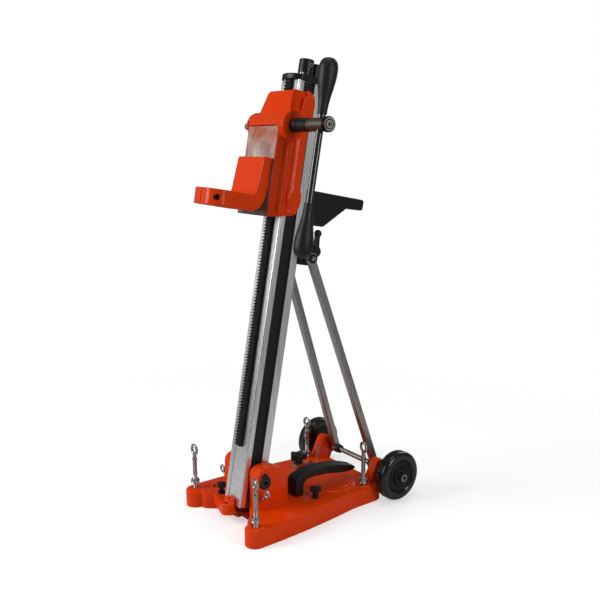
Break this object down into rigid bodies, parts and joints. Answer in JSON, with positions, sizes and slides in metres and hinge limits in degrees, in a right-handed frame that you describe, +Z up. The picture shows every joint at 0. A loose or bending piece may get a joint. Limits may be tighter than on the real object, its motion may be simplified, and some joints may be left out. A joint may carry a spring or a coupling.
{
  "type": "core drill rig",
  "caption": "Tilting drill stand: a column with a rack on a bolted base, a carriage with a clamp collar for the motor, a sliding feed bar and two transport wheels",
  "frame": {"origin": "middle of the flat pad on the underside of the base, between the levelling bolts", "axes": "+Z up, -Y towards the drilling side, +X towards the side with the feed handle's hub; the column leans back by 10.6 degrees towards +Y"},
  "size_m": [0.3408, 0.4571, 0.9507],
  "materials": {
    "orange_paint": "gloss",
    "zinc_steel": "satin",
    "bare_aluminium": "satin",
    "mill_plate": "matte",
    "rack_steel": "satin",
    "black_oxide": "satin",
    "hub_steel": "satin",
    "black_plastic": "gloss",
    "guide_plastic": "matte",
    "tyre_rubber": "satin",
    "brass": "satin",
    "bronze": "satin",
    "red_plastic": "gloss"
  },
  "bodies": {
    "base": {"base_casting": "orange_paint", "pivot_bolt": "zinc_steel", "pivot_plugs": "black_plastic", "carry_handle": "black_plastic", "valve_block": "brass", "hose_fitting": "bare_aluminium", "hose_insert": "red_plastic", "rear_post": "bare_aluminium", "wheel_axle": "zinc_steel", "axle_collars": "black_oxide", "axle_caps": "zinc_steel"},
    "level bolt front near": {"level_bolt_front_near": "zinc_steel"},
    "level bolt front far": {"level_bolt_front_far": "zinc_steel"},
    "level bolt rear near": {"level_bolt_rear_near": "zinc_steel"},
    "level bolt rear far": {"level_bolt_rear_far": "zinc_steel"},
    "eye screw near": {"eye_screw_near": "zinc_steel"},
    "eye screw far": {"eye_screw_far": "zinc_steel"},
    "t knob": {"t_knob": "black_plastic"},
    "wing screw": {"wing_screw": "black_plastic"},
    "star knob": {"star_knob": "black_plastic"},
    "pointer": {"pointer_rod": "zinc_steel"},
    "wheel near": {"tyre_near": "tyre_rubber", "wheel_hub_near": "guide_plastic"},
    "wheel far": {"tyre_far": "tyre_rubber", "wheel_hub_far": "guide_plastic"},
    "column": {"column_extrusion": "bare_aluminium", "foot_insert": "bare_aluminium", "pivot_bushes": "bronze", "guide_strips": "guide_plastic", "rack": "rack_steel", "rack_screws": "black_oxide", "cap_plate": "black_oxide", "cap_screws": "zinc_steel", "rear_handle": "black_oxide", "rear_handle_screws": "zinc_steel"},
    "jack": {"jack_screw": "black_oxide", "jack_pin": "zinc_steel"},
    "carriage": {"carriage_casting": "orange_paint", "carriage_plate": "mill_plate", "guide_shoes": "bronze", "motor_holder": "orange_paint", "clamp_screw": "black_oxide", "shaft_bushes": "bronze"},
    "pinion": {"pinion_gear": "rack_steel", "pinion_shaft": "zinc_steel", "hub_sleeve": "black_oxide", "feed_hub": "hub_steel", "hub_ring": "black_oxide", "hub_screw": "zinc_steel"},
    "feed handle": {"feed_bar": "black_oxide", "upper_grip": "black_plastic", "lower_grip": "black_plastic"},
    "braces": {"strut_near": "bare_aluminium", "strut_far": "bare_aluminium"},
    "brace slider": {"slider_bracket": "black_oxide", "slider_bolts": "zinc_steel", "brace_washers": "black_oxide"},
    "clamp lever": {"clamp_lever": "black_plastic"}
  },
  "joints": [
    {"name": "column tilt", "type": "hinge", "parent": "base", "child": "column", "pos_m": [0, -0.097, 0.096], "axis": [1, 0, 0], "range_deg": [0, 10.6]},
    {"name": "brace swing", "type": "hinge", "parent": "base", "child": "braces", "pos_m": [0, 0.207, 0.057], "axis": [1, 0, 0], "range_deg": [0, 10.35]},
    {"name": "brace slide", "type": "slide", "parent": "column", "child": "brace slider", "axis": [0, 0.184, 0.9829], "range_m": [-0.0556, 0]},
    {"name": "clamp lever turn", "type": "hinge", "parent": "brace slider", "child": "clamp lever", "pos_m": [0, 0.07048, 0.55604], "axis": [0, 0.9829, -0.184], "range_deg": [0, 90]},
    {"name": "carriage feed", "type": "slide", "parent": "column", "child": "carriage", "axis": [0, 0.184, 0.9829], "range_m": [-0.49, 0.02]},
    {"name": "pinion spin", "type": "hinge", "parent": "carriage", "child": "pinion", "pos_m": [0, -0.01923, 0.81598], "axis": [1, 0, 0], "range_deg": [-70, 1565]},
    {"name": "feed bar slide", "type": "slide", "parent": "pinion", "child": "feed handle", "axis": [0, 0.184, 0.9829], "range_m": [0, 0.133]},
    {"name": "jack screw travel", "type": "slide", "parent": "column", "child": "jack", "axis": [0, 0.184, 0.9829], "range_m": [0, 0.05]},
    {"name": "wheel near spin", "type": "hinge", "parent": "base", "child": "wheel near", "pos_m": [0.139, 0.207, 0.057], "axis": [1, 0, 0], "continuous": true},
    {"name": "wheel far spin", "type": "hinge", "parent": "base", "child": "wheel far", "pos_m": [-0.139, 0.207, 0.057], "axis": [1, 0, 0], "continuous": true},
    {"name": "level front near travel", "type": "slide", "parent": "base", "child": "level bolt front near", "axis": [0, 0, 1], "range_m": [-0.01, 0.03]},
    {"name": "level front far travel", "type": "slide", "parent": "base", "child": "level bolt front far", "axis": [0, 0, 1], "range_m": [-0.01, 0.03]},
    {"name": "level rear near travel", "type": "slide", "parent": "base", "child": "level bolt rear near", "axis": [0, 0, 1], "range_m": [0, 0.03]},
    {"name": "level rear far travel", "type": "slide", "parent": "base", "child": "level bolt rear far", "axis": [0, 0, 1], "range_m": [0, 0.03]},
    {"name": "pointer travel", "type": "slide", "parent": "base", "child": "pointer", "axis": [0, 1, 0], "range_m": [-0.11, 0]},
    {"name": "eye screw near turn", "type": "hinge", "parent": "base", "child": "eye screw near", "pos_m": [0.064, -0.106, 0.058], "axis": [0.7071, 0, 0.7071], "range_deg": [0, 720]},
    {"name": "eye screw far turn", "type": "hinge", "parent": "base", "child": "eye screw far", "pos_m": [-0.064, -0.106, 0.058], "axis": [-0.7071, 0, 0.7071], "range_deg": [0, 720]},
    {"name": "t knob turn", "type": "hinge", "parent": "base", "child": "t knob", "pos_m": [-0.06, -0.126, 0.045], "axis": [0, 0, 1], "range_deg": [0, 720]},
    {"name": "wing screw turn", "type": "hinge", "parent": "base", "child": "wing screw", "pos_m": [0.086, 0.019, 0.045], "axis": [0, 0, 1], "range_deg": [0, 720]},
    {"name": "star knob turn", "type": "hinge", "parent": "base", "child": "star knob", "pos_m": [-0.06, 0.084, 0.045], "axis": [0, 0, 1], "range_deg": [0, 720]}
  ],
  "couplings": [
    {"joint": "brace swing", "follows": "column tilt", "ratio": 0.9762},
    {"joint": "brace slide", "follows": "column tilt", "m_per_rad": -0.2999},
    {"joint": "pinion spin", "follows": "carriage feed", "rad_per_m": -55.556}
  ]
}
